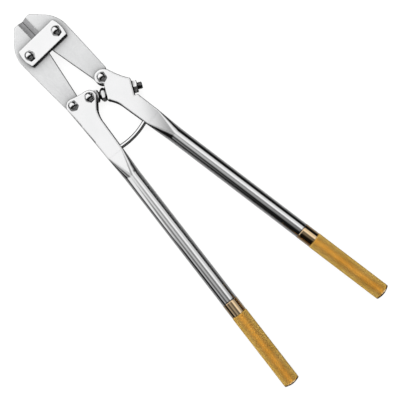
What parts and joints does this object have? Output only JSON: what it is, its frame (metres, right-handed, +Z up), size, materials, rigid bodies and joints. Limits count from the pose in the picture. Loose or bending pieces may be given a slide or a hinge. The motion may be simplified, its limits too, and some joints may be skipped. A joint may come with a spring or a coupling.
{
  "type": "double-action bolt cutters",
  "caption": "Polished steel double-action bolt cutters with a centre-cut nose, link plates, an eye-bolt adjuster, a curved guide rod and knurled gold-plated grips.",
  "frame": {"origin": "under the middle of the closed tool, on the surface it lies on", "axes": "+Y along the head's axis towards the nose, +X towards the adjuster, +Z up, parallel to every pivot"},
  "size_m": [0.1515, 0.4704, 0.0326],
  "materials": {
    "polished_steel": "mirror-polished stainless steel",
    "link_steel": "polished stainless steel",
    "jaw_steel": "fine satin hardened steel",
    "hard_metal": "ground hard metal",
    "bolt_steel": "bright turned and polished",
    "gold_plate": "gold-plated, knurled"
  },
  "bodies": {
    "right_handle": {"right_handle": "polished_steel", "right_grip": "gold_plate", "eye_bolt": "bolt_steel", "inner_adjusting_nut": "bolt_steel", "adjusting_washer": "bolt_steel", "outer_lock_nut": "bolt_steel", "guide_rod": "polished_steel", "right_tail_bolt": "bolt_steel", "right_tail_cap_nut": "bolt_steel"},
    "left_handle": {"left_handle": "polished_steel", "left_grip": "gold_plate", "left_tail_bolt": "bolt_steel", "left_tail_cap_nut": "bolt_steel", "handle_pivot_bolt": "bolt_steel", "handle_pivot_cap_nut": "bolt_steel"},
    "right_jaw": {"right_jaw": "jaw_steel", "right_cutting_insert": "hard_metal"},
    "left_jaw": {"left_jaw": "jaw_steel", "left_cutting_insert": "hard_metal"},
    "links": {"top_link_plate": "link_steel", "bottom_link_plate": "link_steel", "right_jaw_bolt": "bolt_steel", "right_jaw_cap_nut": "bolt_steel", "left_jaw_bolt": "bolt_steel", "left_jaw_cap_nut": "bolt_steel"}
  },
  "joints": [
    {"name": "handle_fold", "type": "hinge", "parent": "right_handle", "child": "left_handle", "pos_m": [-0.0131, 0.1283, 0.0143], "axis": [0, 0, -1], "range_deg": [0, 60]},
    {"name": "right_jaw_turn", "type": "hinge", "parent": "right_handle", "child": "right_jaw", "pos_m": [0.0106, 0.1347, 0.0143], "axis": [0, 0, -1], "range_deg": [0, 32]},
    {"name": "left_jaw_turn", "type": "hinge", "parent": "left_handle", "child": "left_jaw", "pos_m": [-0.0315, 0.1335, 0.0143], "axis": [0, 0, 1], "range_deg": [0, 39]},
    {"name": "link_turn", "type": "hinge", "parent": "right_jaw", "child": "links", "pos_m": [0.00985, 0.2019, 0.0143], "axis": [0, 0, 1], "range_deg": [0, 5]}
  ],
  "couplings": [
    {"joint": "right_jaw_turn", "follows": "handle_fold", "ratio": 0.52},
    {"joint": "left_jaw_turn", "follows": "handle_fold", "ratio": 0.636},
    {"joint": "link_turn", "follows": "handle_fold", "ratio": 0.078}
  ]
}
